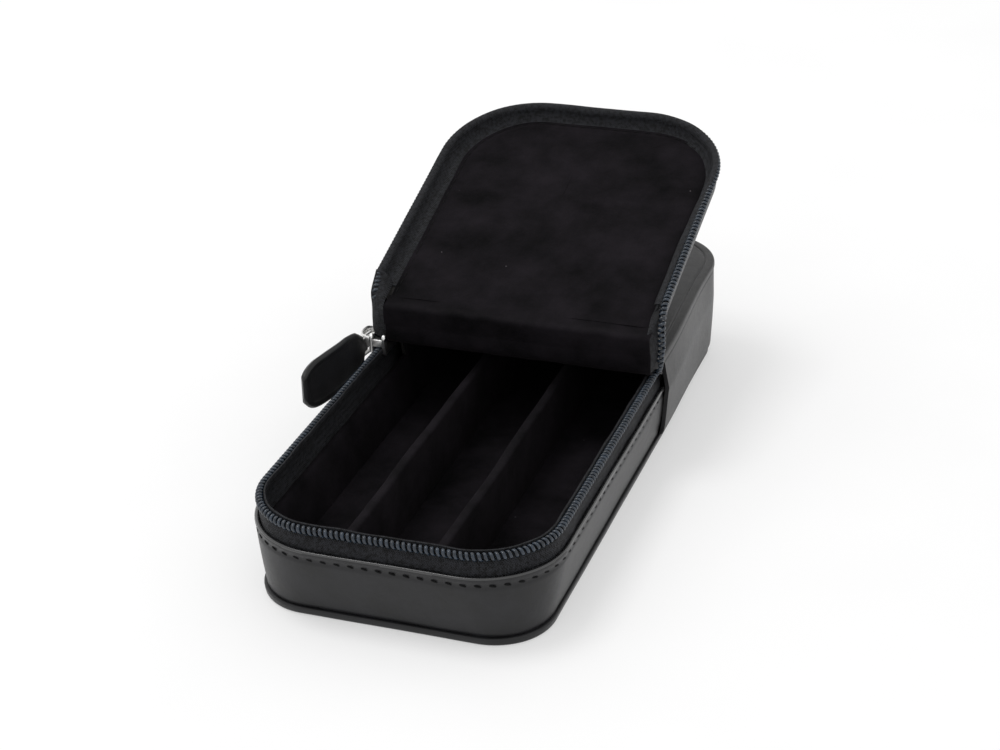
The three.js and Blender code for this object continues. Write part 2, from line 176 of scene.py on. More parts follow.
def cottonVelvet():
    # cut pile cotton velvet: soot black across the pile, and a soft warm bloom where the nap is brushed over
    material, tree, shader = newMaterial("cottonVelvet", Roughness=0.95, IOR=1.45)
    place = addNode(tree, "TexCoord")["Object"]
    nap = sizedNoise(tree, place, plush["nap"], 5.0, 0.62)
    tufts = sizedNoise(tree, place, plush["pile"], 2.0)
    mixed = addNode(
        tree, "Math", {0: nap, 1: addNode(tree, "Math", {0: tufts, 1: 0.25}, operation="MULTIPLY")[0]}
    )[0]
    pileColour = ramp(tree, mixed, [(0.42, plush["deep"]), (0.82, plush["brushed"])])
    lint = addNode(
        tree, "TexVoronoi", {"Vector": place, "Scale": 1 / (plush["lintEvery"] * mm), "Randomness": 1.0}
    )["Distance"]
    speck = addNode(
        tree, "MapRange", {"Value": lint, "From Min": 0.016, "From Max": 0.024, "To Min": 1.0, "To Max": 0.0}
    )["Result"]
    lintMix = addNode(
        tree, "Mix", {"Factor": speck, "A": pileColour, "B": linear("#5d595c")}, data_type="RGBA"
    )
    tree.links.new(lintMix[2], shader.inputs["Base Color"])
    pileBump = addNode(tree, "Bump", {"Height": tufts, "Strength": 0.55, "Distance": 0.12 * mm})["Normal"]
    napBump = addNode(
        tree, "Bump", {"Height": nap, "Strength": 0.3, "Distance": 1.2 * mm, "Normal": pileBump}
    )["Normal"]
    tree.links.new(napBump, shader.inputs["Normal"])
    shader.inputs["Specular IOR Level"].default_value = 0.1
    shader.inputs["Sheen Weight"].default_value = 0.05
    shader.inputs["Sheen Roughness"].default_value = 0.45
    shader.inputs["Sheen Tint"].default_value = linear("#8a7f86")
    return material


velvet = cottonVelvet()

weave = {"rib": 0.62, "wale": 1.5, "dark": "#050506", "light": "#232428", "speckle": 0.9}


def wovenTape():
    # polyester zip tape in a herringbone weave: slanting ribs that flip from wale to wale, with a dull shine
    material, tree, shader = newMaterial("polyesterZipTape", IOR=1.5)
    cloth = addNode(tree, "UVMap", uv_map="threadMap")["UV"]
    axes = addNode(tree, "SeparateXYZ", {0: cloth})
    bend = addNode(tree, "Math", {0: axes["Y"], 1: weave["wale"] / 2}, operation="PINGPONG")[0]
    slant = addNode(tree, "Math", {0: axes["X"], 1: bend}, operation="ADD")[0]
    turn = addNode(tree, "Math", {0: slant, 1: 2 * math.pi / weave["rib"]}, operation="MULTIPLY")[0]
    wave = addNode(tree, "Math", {0: turn}, operation="SINE")[0]
    cross = addNode(tree, "Math", {0: axes["Y"], 1: 2 * math.pi / 0.45}, operation="MULTIPLY")[0]
    pick = addNode(tree, "Math", {0: cross}, operation="SINE")[0]
    height = addNode(tree, "Math", {0: pick, 1: 0.35, 2: wave}, operation="MULTIPLY_ADD")[0]
    level = addNode(tree, "MapRange", {"Value": height, "From Min": -1.35, "From Max": 1.35})["Result"]
    speckle = sizedNoise(tree, addNode(tree, "TexCoord")["Object"], weave["speckle"], 3.0, 0.7)
    grit = addNode(tree, "MapRange", {"Value": speckle, "From Min": 0.4, "From Max": 0.6, "To Max": 0.75})["Result"]
    tone = addNode(tree, "Math", {0: level, 1: 0.45, 2: grit}, operation="MULTIPLY_ADD")[0]
    tree.links.new(ramp(tree, tone, [(0.15, weave["dark"]), (0.9, weave["light"])]), shader.inputs["Base Color"])
    tree.links.new(spread(tree, level, 0.75, 0.5), shader.inputs["Roughness"])
    bump = addNode(tree, "Bump", {"Height": level, "Strength": 0.8, "Distance": 0.16 * mm})["Normal"]
    tree.links.new(bump, shader.inputs["Normal"])
    shader.inputs["Specular IOR Level"].default_value = 0.2
    shader.inputs["Sheen Weight"].default_value = 0.02
    return material


zipTape = wovenTape()


def nylonMonofilament():
    # drawn nylon 6 filament, dyed blue black: a hard narrow shine on each turn
    material, tree, shader = newMaterial("nylonMonofilament", IOR=1.53)
    place = addNode(tree, "TexCoord")["Object"]
    shade = sizedNoise(tree, place, 1.3, 2.0)
    tree.links.new(ramp(tree, shade, [(0.3, "#131920"), (0.75, "#2e3946")]), shader.inputs["Base Color"])
    tree.links.new(spread(tree, shade, 0.14, 0.26), shader.inputs["Roughness"])
    bump = addNode(tree, "Bump", {"Height": shade, "Strength": 0.15, "Distance": 0.05 * mm})["Normal"]
    tree.links.new(bump, shader.inputs["Normal"])
    return material


zipNylon = nylonMonofilament()


def bondedThread():
    # bonded polyester thread: fine twist with a slight wax shine
    material, tree, shader = newMaterial("bondedPolyesterThread", IOR=1.5)
    shader.inputs["Specular IOR Level"].default_value = 0.2
    place = addNode(tree, "TexCoord")["Object"]
    twist = addNode(
        tree,
        "TexWave",
        {"Vector": place, "Scale": 1 / (0.9 * mm), "Distortion": 1.5, "Detail": 1.0},
        bands_direction="DIAGONAL",
    )["Fac"]
    tree.links.new(ramp(tree, twist, [(0.2, "#020203"), (0.9, "#0a0a0b")]), shader.inputs["Base Color"])
    tree.links.new(spread(tree, twist, 0.85, 0.65), shader.inputs["Roughness"])
    bump = addNode(tree, "Bump", {"Height": twist, "Strength": 0.5, "Distance": 0.06 * mm})["Normal"]
    tree.links.new(bump, shader.inputs["Normal"])
    return material


thread = bondedThread()


def platedNickel():
    # die cast zinc, barrel polished and nickel plated: bright and a little warm, with fine tumbling marks
    material, tree, shader = newMaterial("nickelPlatedZinc", Metallic=1.0)
    place = addNode(tree, "TexCoord")["Object"]
    marks = sizedNoise(tree, place, 0.5, 4.0, 0.65)
    tree.links.new(ramp(tree, marks, [(0.3, "#e6e5e3"), (0.7, "#f6f6f5")]), shader.inputs["Base Color"])
    tree.links.new(spread(tree, marks, 0.24, 0.38), shader.inputs["Roughness"])
    bump = addNode(tree, "Bump", {"Height": marks, "Strength": 0.12, "Distance": 0.05 * mm})["Normal"]
    tree.links.new(bump, shader.inputs["Normal"])
    return material


nickel = platedNickel()


def blackCard():
    # pressed card stiffener, dyed black right through: matt, with short fibres
    material, tree, shader = newMaterial("blackCard", IOR=1.45)
    place = addNode(tree, "TexCoord")["Object"]
    fibres = sizedNoise(tree, place, 1.1, 6.0, 0.7)
    tree.links.new(ramp(tree, fibres, [(0.3, "#141312"), (0.7, "#201e1c")]), shader.inputs["Base Color"])
    tree.links.new(spread(tree, fibres, 0.8, 0.95), shader.inputs["Roughness"])
    bump = addNode(tree, "Bump", {"Height": fibres, "Strength": 0.3, "Distance": 0.1 * mm})["Normal"]
    tree.links.new(bump, shader.inputs["Normal"])
    return material


board = blackCard()
print("materials made")

# ---- mesh helpers


def addMesh(name, points, faces, material, threadMap=None, sharpAngle=38, caps=None):
    mesh = bpy.data.meshes.new(name)
    mesh.from_pydata([Vector(p) * mm for p in points], [], faces)
    if threadMap is not None:
        layer = mesh.uv_layers.new(name="threadMap")
        corner = np.zeros(len(mesh.loops), np.int32)
        mesh.loops.foreach_get("vertex_index", corner)
        layer.data.foreach_set("uv", np.asarray(threadMap, np.float32)[corner].ravel())
    work = bmesh.new()
    work.from_mesh(mesh)
    if caps == "fill":
        edges = [e for e in work.edges if e.is_boundary]
        bmesh.ops.holes_fill(work, edges=edges, sides=0)
    bmesh.ops.triangulate(work, faces=[f for f in work.faces if len(f.verts) > 4])
    bmesh.ops.recalc_face_normals(work, faces=work.faces)
    work.to_mesh(mesh)
    work.free()
    mesh.shade_smooth()
    mesh.set_sharp_from_angle(angle=math.radians(sharpAngle))
    mesh.materials.append(material)
    piece = bpy.data.objects.new(name, mesh)
    bpy.context.scene.collection.objects.link(piece)
    return piece


def gridFaces(rows, columns, wrapRows=False, wrapColumns=False):
    faces = []
    for i in range(rows if wrapRows else rows - 1):
        for j in range(columns if wrapColumns else columns - 1):
            a, b = i * columns + j, i * columns + (j + 1) % columns
            c = ((i + 1) % rows) * columns
            faces.append((a, b, c + (j + 1) % columns, c + j))
    return faces


def smoothed(corners, step=1.0, arcSteps=4, closed=True):
    # corners are (a, b, radius) points of a section: rounded there, and divided so that no edge is over step
    count = len(corners)
    outline = []
    for i, (a, b, radius) in enumerate(corners):
        here = np.array((a, b), float)
        if radius == 0 or (not closed and i in (0, count - 1)):
            outline.append(here)
            continue
        before = np.array(corners[i - 1][:2], float) - here
        after = np.array(corners[(i + 1) % count][:2], float) - here
        start = here + before / np.linalg.norm(before) * min(radius, np.linalg.norm(before) / 2)
        end = here + after / np.linalg.norm(after) * min(radius, np.linalg.norm(after) / 2)
        for k in range(arcSteps + 1):
            t = k / arcSteps
            outline.append((1 - t) ** 2 * start + 2 * t * (1 - t) * here + t * t * end)
    divided = []
    for i, point in enumerate(outline):
        divided.append(point)
        if i + 1 == len(outline) and not closed:
            break
        following = outline[(i + 1) % len(outline)]
        parts = max(1, math.ceil(np.linalg.norm(following - point) / step))
        divided.extend(point + (following - point) * k / parts for k in range(1, parts))
    return divided


def lengths(points, closed=False):  # running length at each point
    points = np.asarray(points, float)
    steps = np.linalg.norm(np.diff(points, axis=0), axis=1)
    return np.concatenate([[0], np.cumsum(steps)])


def evenly(points, pitch, start=0.0):  # points every pitch mm along a line
    points = np.asarray(points, float)
    run = lengths(points)
    at = np.arange(start, run[-1], pitch)
    return np.stack([np.interp(at, run, points[:, axis]) for axis in range(3)], axis=1)


def curveThrough(points, count):  # a smooth curve through a few points
    p = np.asarray(points, float)
    p = np.vstack([2 * p[0] - p[1], p, 2 * p[-1] - p[-2]])
    made = []
    spans = len(p) - 3
    for at in np.linspace(0, spans, count):
        i = min(int(at), spans - 1)
        t = at - i
        a, b, c, d = p[i : i + 4]
        made.append(
            0.5 * (2 * b + (c - a) * t + (2 * a - 5 * b + 4 * c - d) * t**2 + (3 * b - a - 3 * c + d) * t**3)
        )
    return np.array(made)


def unit(vectors):
    return vectors / np.maximum(np.linalg.norm(vectors, axis=-1, keepdims=True), 1e-9)


def tube(path, side, across, along, sides=8, closed=False):
    # rings of an elliptical tube: across is its radius along side, along its radius on the third axis
    tangent = np.gradient(path, axis=0)
    if closed:
        tangent = np.roll(path, -1, axis=0) - np.roll(path, 1, axis=0)
    tangent = unit(tangent)
    side = side - (side * tangent).sum(1, keepdims=True) * tangent
    side = unit(side)
    third = np.cross(tangent, side)
    turn = np.linspace(0, 2 * math.pi, sides, endpoint=False)
    rings = path[:, None] + across * np.cos(turn)[None, :, None] * side[:, None]
    rings = rings + along * np.sin(turn)[None, :, None] * third[:, None]
    return rings


def tubeMesh(name, rings, material, closed=False, sharpAngle=50):
    count, sides = rings.shape[:2]
    faces = gridFaces(count, sides, wrapRows=closed, wrapColumns=True)
    if not closed:
        faces.append(tuple(range(sides)))
        faces.append(tuple(range((count - 1) * sides, count * sides)))
    return addMesh(name, rings.reshape(-1, 3), faces, material, sharpAngle=sharpAngle)


def ruffled(points, amount, size, seed):  # moves points by smooth noise, for handled leather and cloth
    moved = []
    for p in points:
        at = Vector(p) / size + Vector((seed, seed * 0.37, -seed))
        moved.append(Vector(p) + noise.noise_vector(at) * amount)
    return moved


# ---- outlines of the case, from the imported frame

wallLow, wallHigh = boxOf("front_wall_leather")
baseLow, baseHigh = boxOf("base_leather")
topLow, topHigh = boxOf("rear_top_leather")
coilLow, coilHigh = boxOf("tray_zip_coil")

case = {
    "halfWidth": wallHigh.x,
    "halfLength": -wallLow.y,
    "rim": wallHigh.z,
    "corner": 22.0,
    "footInset": 3.5,
    "tightening": 2.3,
    "topLean": 0.11,
}


def wallLean(z):  # how far the wall stands inside the rim at height z
    if z < case["rim"]:
        return case["footInset"] * (1 - z / case["rim"])
    return case["topLean"] * (z - case["rim"])


shell = {
    "half": case["halfWidth"],
    "end": case["halfLength"],
    "corner": case["corner"],
    "lean": wallLean,
}


def stationsRound(endSide, firstSeam, lastSeam, outline, step=1.5, cornerSteps=22):
    # stations from one side's seam round an end to the other side's seam, counter-clockwise from above
    straight = outline["end"] - outline["corner"]
    flat = outline["half"] - outline["corner"]
    first, last = (-1, 1) if endSide < 0 else (1, -1)
    down = np.linspace(firstSeam, endSide * straight, max(2, int(abs(endSide * straight - firstSeam) / step)))
    up = np.linspace(endSide * straight, lastSeam, max(2, int(abs(endSide * straight - lastSeam) / step)))
    stations = [("side", first, y) for y in down[:-1]]
    startAngle = 180 if endSide < 0 else 0
    for k in range(cornerSteps + 1):
        stations.append(("corner", first, endSide, startAngle + 90 * k / cornerSteps))
    for t in np.linspace(first, last, max(3, int(2 * flat / step)))[1:-1]:
        stations.append(("end", endSide, t))
    for k in range(cornerSteps + 1):
        stations.append(("corner", last, endSide, startAngle + 90 + 90 * k / cornerSteps))
    return stations + [("side", last, y) for y in up[1:]]


def pointAt(outline, station, inset, z):
    lean = outline["lean"](z)
    half = outline["half"] - inset - lean
    end = outline["end"] - inset - lean
    radius = max(outline["corner"] - inset - case["tightening"] * lean, 0.8)
    if station[0] == "side":
        return (station[1] * half, station[2], z)
    if station[0] == "end":
        return (station[2] * (half - radius), station[1] * end, z)
    angle = math.radians(station[3])
    return (
        station[1] * (half - radius) + radius * math.cos(angle),
        station[2] * (end - radius) + radius * math.sin(angle),
        z,
    )


def runPoints(outline, stations, inset, z):
    return np.array([pointAt(outline, s, inset, z) for s in stations])


def sweepMesh(name, outline, stations, section, material, ring=False, closedSection=True, panel=False, shape=None):
    # a section carried along a run. A panel's section is open, and its two inner edges are filled
    rows = [[pointAt(outline, s, inset, z) for inset, z in section] for s in stations]
    flat = [p for row in rows for p in row]
    if shape:
        flat = shape(flat)
    count, width = len(rows), len(section)
    faces = gridFaces(count, width, wrapRows=ring, wrapColumns=closedSection)
    if panel:
        faces.append(tuple(i * width for i in range(count)))
        faces.append(tuple(i * width + width - 1 for i in range(count)))
    elif not ring:
        faces.append(tuple(range(width)))
        faces.append(tuple(range((count - 1) * width, count * width)))
    middle = [row[width // 2] for row in rows]
    along, across = lengths(middle), lengths([(a, b, 0) for a, b in section])
    threadMap = [(u, v) for u in along for v in across]
    return addMesh(name, flat, faces, material, threadMap, caps="fill" if panel and not ring else None)


def burnish(piece, above):  # gives the faces above a height the burnished finish
    piece.data.materials.append(burnishedEdge)
    for face in piece.data.polygons:
        face.material_index = int(face.center.z > above * mm)


def rearDrawn(points):  # the rear half draws in a little towards its end, more at the top
    moved = []
    for p in points:
        back = min(max((p.y - 18) / 45, 0), 1)
        draw = float(np.interp(p.z, [0, 19.6, 30], [0.6, 2.3, 1.7])) * back * back * (3 - 2 * back)
        moved.append(Vector((p.x * (1 - draw / 40), p.y - 1.8 * (max(p.y - 18, 0) / 72) ** 2, p.z)))
    return moved


def keep(piece, body, slot, *nodes):  # rides on a body and hides the CAD nodes that it stands for; the slot is not used
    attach(piece, body)
    if nodes:
        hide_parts(*nodes)
    return piece


frontEnd = stationsRound(-1, 17.5, 17.5, shell)
wholeRun = stationsRound(-1, 0, 0, shell)[:-1] + stationsRound(1, 0, 0, shell)[:-1]

# ---- base

base = {"height": baseHigh.z, "edge": 0.8, "round": 0.75}


def baseLeather():
    edge, top = -base["edge"], base["height"]
    section = smoothed(
        [(34, 0.12, 0), (6, 0.12, 0.5), (3.2, 0, 0.5), (edge, 0, base["round"]), (edge, top, 0.6), (4, top, 0)],
        step=2.5,
        arcSteps=6,
        closed=False,
    )
    piece = sweepMesh(
        "baseLeatherWelt", shell, wholeRun, section, blackCalf, ring=True, closedSection=False, panel=True,
        shape=lambda points: rearDrawn(ruffled(points, 0.09, 14, 3.1)),
    )
    keep(piece, "case", "leather", "base_leather")


baseLeather()

# ---- front wall: leather with a rolled top edge and a stitch row below it

wall = {
    "foot": 2.1,
    "stitchDrop": 2.35,
    "stitchPitch": 3.5,
    "stitchLength": 1.9,
    "holeLength": 1.2,
    "slant": 12,  # degrees that each stitch leans
    "bulge": 0.35,
}


def wallLeather():
    rim, foot = case["rim"], wall["foot"]
    row = rim - wall["stitchDrop"]
    section = smoothed(
        [
            (0.1, foot, 0.2),
            (-0.02, foot + 0.8, 0.4),
            (-0.05, row - 1.1, 0.5),
            (0.2, row - 0.45, 0.4),
            (0.26, row, 0.4),
            (0.2, row + 0.45, 0.4),
            (-0.08, row + 1.1, 0.5),
            (-0.1, rim - 0.35, 0.35),
            (0.28, rim + 0.12, 0.35),
            (1.05, rim - 0.02, 0.3),
            (1.12, rim - 1.2, 0),
            (1.12, foot, 0.1),
        ],
        step=1.4,
    )

    def handled(points):
        moved = []
        for p in ruffled(points, 0.16, 17, 8.2):
            belly = math.sin(math.pi * min(max((p.z - foot) / (row - foot), 0), 1))
            outward = Vector((p.x / case["halfWidth"], 0, 0)) if abs(p.y) < 68 else Vector((0, -1, 0))
            moved.append(p + outward * wall["bulge"] * belly * 0.4)
        return moved

    piece = sweepMesh("frontWallLeather", shell, frontEnd, section, blackCalf, shape=handled)
    burnish(piece, rim - 0.4)
    keep(piece, "case", "leather", "front_wall_leather")


wallLeather()


def stitches(name, path, outward, pitch, length, body, thickness=0.3, slant=0.0, sink=0.12, start=1.0):
    # a row of lockstitches on a line: each thread rises out of its hole and dives into the next
    centres = evenly(path, pitch, start)
    tangents = unit(np.gradient(centres, axis=0))
    run = lengths(path)
    at = np.arange(start, run[-1], pitch)
    normals = np.stack([np.interp(at, run, np.asarray(outward)[:, a]) for a in range(3)], axis=1)
    normals = unit(normals)
    points, faces = [], []
    for centre, tangent, normal in zip(centres, tangents, normals):
        lift = np.cross(normal, tangent)
        lean = math.tan(math.radians(slant))
        steps = np.linspace(-1, 1, 9)
        spine = np.array(
            [
                centre
                + tangent * length / 2 * t
                - lift * lean * length / 2 * t
                + normal * (thickness * 0.75 * (1 - t**4) - sink - thickness * 0.5 * abs(t) ** 6)
                for t in steps
            ]
        )
        widths = thickness * np.sqrt(np.clip(1 - (np.abs(steps) * 0.96) ** 4, 0.05, 1))
        for i, middle in enumerate(spine):
            for k in range(8):
                angle = 2 * math.pi * k / 8
                points.append(middle + widths[i] * (math.cos(angle) * lift + 0.7 * math.sin(angle) * normal))
        offset = len(points) - 9 * 8
        faces += [tuple(offset + i for i in face) for face in gridFaces(9, 8, wrapColumns=True)]
        faces.append(tuple(range(offset, offset + 8)))
        faces.append(tuple(range(offset + 64, offset + 72)))
    piece = addMesh(name, points, faces, thread, sharpAngle=60)
    return keep(piece, body, "zip_tape")


def wallStitches():
    z = case["rim"] - wall["stitchDrop"]
    row = stationsRound(-1, 14.5, 12.0, shell, 1.0)
    path = runPoints(shell, row, 0.24, z)
    outer = runPoints(shell, row, -1.0, z)
    stitches(
        "frontWallStitches", path, unit(outer - path), wall["stitchPitch"], wall["stitchLength"], "case",
        thickness=0.26, slant=wall["slant"],
    )


wallStitches()

# ---- rear sleeve: a full height strip whose front edges slant

sleeve = {"edgeLow": 18.1, "edgeRim": 13.2, "edgeTop": 11.6, "out": 1.4, "thickness": 1.1, "foot": 2.15, "top": 28.05}


def sleeveEdge(z):  # how far back the sleeve's front edge stands at height z
    return float(np.interp(z, [5.6, 18.6, 28.0], [sleeve["edgeLow"], sleeve["edgeRim"], sleeve["edgeTop"]]))


def sleeveLeather():
    out, foot, top = -sleeve["out"], sleeve["foot"], sleeve["top"]
    inner = out + sleeve["thickness"]
    section = smoothed(
        [
            (out + 0.55, foot, 0.3),
            (out, foot + 1.0, 0.6),
            (out, case["rim"], 0),
            (out, top - 0.4, 0.2),
            (out + 0.25, top, 0.15),
            (inner, top, 0.1),
            (inner, case["rim"], 0),
            (inner, foot, 0.1),
        ],
        step=1.5,
    )

    def slanted(points):
        moved = []
        for p in ruffled(points, 0.14, 15, 5.7):
            near = max(0.0, 1 - (p.y - 12.5) / 40) if p.y < 52.5 else 0
            moved.append(p + Vector((0, (sleeveEdge(p.z) - 12.5) * near, 0)))
        return rearDrawn(moved)

    piece = sweepMesh("rearSleeveLeather", shell, stationsRound(1, 12.5, 12.5, shell), section, blackCalf, shape=slanted)
    keep(piece, "case", "leather", "rear_sleeve_leather")


sleeveLeather()

# ---- fixed rear top, creased along its edge

rearTop = {"out": 1.6, "top": topHigh.z, "under": topLow.z, "seam": 9.0, "crease": 2.8}


def rearTopLeather():
    out, top, under = -rearTop["out"], rearTop["top"], rearTop["under"]
    crease = out + rearTop["crease"]
    section = smoothed(
        [
            (37, under, 0),
            (out + 2, under, 0),
            (out + 0.1, under, 0.5),
            (out - 0.05, (top + under) / 2, 0.5),
            (out + 0.1, top, 0.55),
            (crease - 0.45, top + 0.02, 0.2),
            (crease, top - 0.3, 0.15),
            (crease + 0.45, top + 0.03, 0.2),
            (crease + 4, top + 0.12, 1),
            (24, top + 0.16, 1),
            (37, top + 0.16, 0),
        ],
        step=3,
        closed=False,
    )
    seam = rearTop["seam"]
    piece = sweepMesh(
        "rearTopLeather", shell, stationsRound(1, seam, seam, shell), section, blackCalf,
        closedSection=False, panel=True, shape=lambda points: rearDrawn(ruffled(points, 0.1, 20, 2.4)),
    )
    keep(piece, "case", "leather", "rear_top_leather")


rearTopLeather()
print("leather shell built")

# ---- velvet linings of the tray

# the front lining is turned over the stiffener's top edge, out to the hem
lining = {"inset": 3.3, "thickness": 0.75, "foot": 3.5, "top": 16.1, "floor": 4.1, "hem": 2.0}


def trayLinings():
    inset, thick = lining["inset"], lining["thickness"]
    section = smoothed(
        [
            (inset, lining["foot"], 0),
            (inset, lining["top"] - 0.3, 0.1),
            (lining["hem"] + 0.25, lining["top"] - 0.3, 0.1),
            (lining["hem"] + 0.25, lining["top"] - 1.8, 0),
            (lining["hem"], lining["top"] - 1.8, 0),
            (lining["hem"], lining["top"] + 0.2, 0.4),
            (inset - 0.4, lining["top"] + 0.65, 0.5),
            (inset + 0.5, lining["top"] + 0.5, 0.5),
            (inset + thick + 0.15, lining["top"] - 0.5, 0.5),
            (inset + thick, lining["foot"], 0),
        ],
        step=1.5,
    )
    piece = sweepMesh("frontWallVelvet", shell, frontEnd, section, velvet, shape=lambda p: ruffled(p, 0.24, 5, 1.9))
    keep(piece, "case", "velvet", "front_wall_lining")
    high = [(inset, 3.5, 0), (inset, 25.6, 0), (inset + 0.6, 25.6, 0), (inset + 0.6, 3.5, 0)]
    rear = stationsRound(1, 17.8, 17.8, shell)
    piece = sweepMesh("rearWallVelvet", shell, rear, smoothed(high, 2), velvet, shape=lambda p: rearDrawn(ruffled(p, 0.1, 7, 4.9)))
    keep(piece, "case", "velvet", "rear_wall_lining")
    floorSection = [(32, 3.5), (4.4, 3.5), (4.3, 3.8), (4.5, 4.1)]
    floorSection += [(inset, lining["floor"]) for inset in np.linspace(5.5, 32, 22)]
    piece = sweepMesh(
        "floorVelvet", shell, wholeRun, floorSection, velvet, ring=True, closedSection=False, panel=True,
        shape=lambda p: ruffled(p, 0.12, 8, 6.1),
    )
    keep(piece, "case", "velvet", "floor_lining")


trayLinings()

divider = {"half": 1.35, "foot": 4.35, "ridge": 20.6, "sag": 0.25}


def dividers():
    for side, name in ((-1, "left"), (1, "right")):
        low, high = boxOf(f"divider_{name}_velvet")
        x = (low.x + high.x) / 2
        path = np.linspace(low.y, high.y, 110)
        half, ridge = divider["half"], high.z
        section = smoothed(
            [
                (-half - 0.15, low.z, 0),
                (-half + 0.05, ridge - 2.2, 0.5),
                (-half + 0.1, ridge, 0.85),
                (half - 0.1, ridge, 0.85),
                (half - 0.05, ridge - 2.2, 0.5),
                (half + 0.15, low.z, 0),
                (half - 0.55, low.z, 0),
                (half - 0.6, ridge - 1.0, 0.2),
                (-half + 0.6, ridge - 1.0, 0.2),
                (-half + 0.55, low.z, 0),
            ],
            step=1.5,
        )
        points = [(x + a, y, b) for y in path for a, b in section]
        moved = []
        for p in ruffled(points, 0.1, 6, 7.7 + side):
            wander = noise.noise(Vector((p.y / 30, side * 3.0, p.z / 25))) * 0.5
            moved.append(p + Vector((wander * (p.z - low.z) / 16, 0, -divider["sag"] * (wander + 0.3) * 0.4)))
        faces = gridFaces(len(path), len(section), wrapColumns=True)
        faces += [tuple(range(len(section))), tuple(range(len(points) - len(section), len(points)))]
        keep(addMesh(f"divider{name.title()}Velvet", moved, faces, velvet), "case", "velvet", f"divider_{name}_velvet")


dividers()


def rearTopLining():
    low, high = boxOf("rear_top_lining")
    section = [(34, low.z), (2.3, low.z), (2.0, (low.z + high.z) / 2), (2.3, high.z), (34, high.z)]
    seam = low.y
    piece = sweepMesh(
        "rearTopVelvet", shell, stationsRound(1, seam, seam, shell), section, velvet,
        closedSection=False, panel=True, shape=lambda p: rearDrawn(ruffled(p, 0.08, 8, 9.4)),
    )
    keep(piece, "case", "velvet", "rear_top_lining")
    low, high = boxOf("rear_top_board")
    edge = 1.9
    section = [(34, low.z), (edge, low.z), (edge, high.z), (34, high.z)]
    piece = sweepMesh(
        "rearTopBoard", shell, stationsRound(1, low.y, low.y, shell), section, board,
        closedSection=False, panel=True, shape=lambda p: rearDrawn([Vector(q) for q in p]),
    )
    keep(piece, "case", "board", "rear_top_board")


rearTopLining()
print("linings built")

# ---- zip

zipper = {
    "radius": 1.1,
    "wire": 0.36,
    "head": 0.46,
    "pitch": 1.4,
    "coilInset": 1.35,
    "coilZ": (coilLow.z + coilHigh.z) / 2,
    "tape": 0.55,
}


def coilRings(path, side, phase=0.0, samples=13, sides=8):  # a monofilament wound round a path
    run = lengths(path)
    turns = run[-1] / zipper["pitch"]
    count = int(turns * samples)
    at = np.linspace(0, run[-1], count)
    centre = np.stack([np.interp(at, run, path[:, a]) for a in range(3)], axis=1)
    out = unit(np.stack([np.interp(at, run, side[:, a]) for a in range(3)], axis=1))
    tangent = unit(np.gradient(centre, axis=0))
    out = unit(out - (out * tangent).sum(1, keepdims=True) * tangent)
    up = np.cross(tangent, out)
    turn = 2 * math.pi * at / zipper["pitch"] + phase
    reach = zipper["radius"] - zipper["wire"]
    bead = 1 + 0.12 * np.clip(np.sin(turn), 0, 1) ** 6
    wound = centre + (reach * np.cos(turn))[:, None] * out * 0.95 + (reach * bead * np.sin(turn))[:, None] * up
    return tube(wound, unit(wound - centre), zipper["wire"], zipper["head"], sides)


def coilPiece(name, path, side, body, *nodes):
    piece = tubeMesh(name, coilRings(path, side), zipNylon, sharpAngle=80)
    return keep(piece, body, "zip_coil", *nodes)


def cordPiece(name, path, side, body):  # the core cord that the filament is wound round
    piece = tubeMesh(name, tube(path, side, 0.5, 0.5, 8), thread, sharpAngle=80)
    return keep(piece, body, "zip_tape")


def trayZip():
    stations = stationsRound(-1, 11.5, 12.5, shell, 1.0, 30)
    z, inset = zipper["coilZ"], zipper["coilInset"]
    path = runPoints(shell, stations, inset, z)
    side = unit(runPoints(shell, stations, inset - 1, z) - path)
    coilPiece("trayZipCoil", path, side, "case", "tray_zip_coil")
    cordPiece("trayZipCord", path, side, "case")
    low, thick = 9.0, zipper["tape"]
    mid = 1.7
    section = smoothed(
        [
            (mid - thick / 2, low, 0),
            (mid - thick / 2 - 0.1, 17.8, 0.8),
            (mid - thick / 2 - 0.27, 19.7, 0.8),
            (mid - thick / 2 - 0.18, 21.8, 0.8),
            (inset + 0.4, z - 1.4, 0.6),
            (inset + 1.0, z - 0.2, 0.4),
            (inset + 0.95, z + 1.0, 0.1),
            (inset + 1.4, z + 1.05, 0.1),
            (inset + 1.5, z - 0.2, 0.4),
            (inset + 0.95, z - 1.7, 0.6),
            (mid + thick / 2 - 0.12, 21.6, 0.8),
            (mid + thick / 2 - 0.02, 19.0, 0.8),
            (mid + thick / 2, low, 0),
        ],
        step=1.2,
    )
    run = stationsRound(-1, 13.5, 13.5, shell, 1.2)
    piece = sweepMesh("trayZipTape", shell, run, section, zipTape, shape=lambda p: ruffled(p, 0.22, 6, 3.3))
    keep(piece, "case", "zip_tape", "tray_zip_tape")


trayZip()

# ---- spine and lid frames

foldY, foldZ = 5.9, topHigh.z
spineAngle = math.radians(100)
spineLength = 5.8
lidAngle = math.radians(16.5)


def foldFrame(y, z, angle):  # local +Y along the panel, +Z to its inner face
    c, s = math.cos(angle), math.sin(angle)
    return Matrix(((1, 0, 0, 0), (0, c, -s, y), (0, s, c, z), (0, 0, 0, 1)))


spineFrame = foldFrame(foldY, foldZ, spineAngle)
secondFold = spineFrame @ Vector((0, spineLength, 0))
lidFrame = foldFrame(secondFold.y, secondFold.z, lidAngle)


def placed(matrix, points):
    return [matrix @ Vector(p) for p in points]


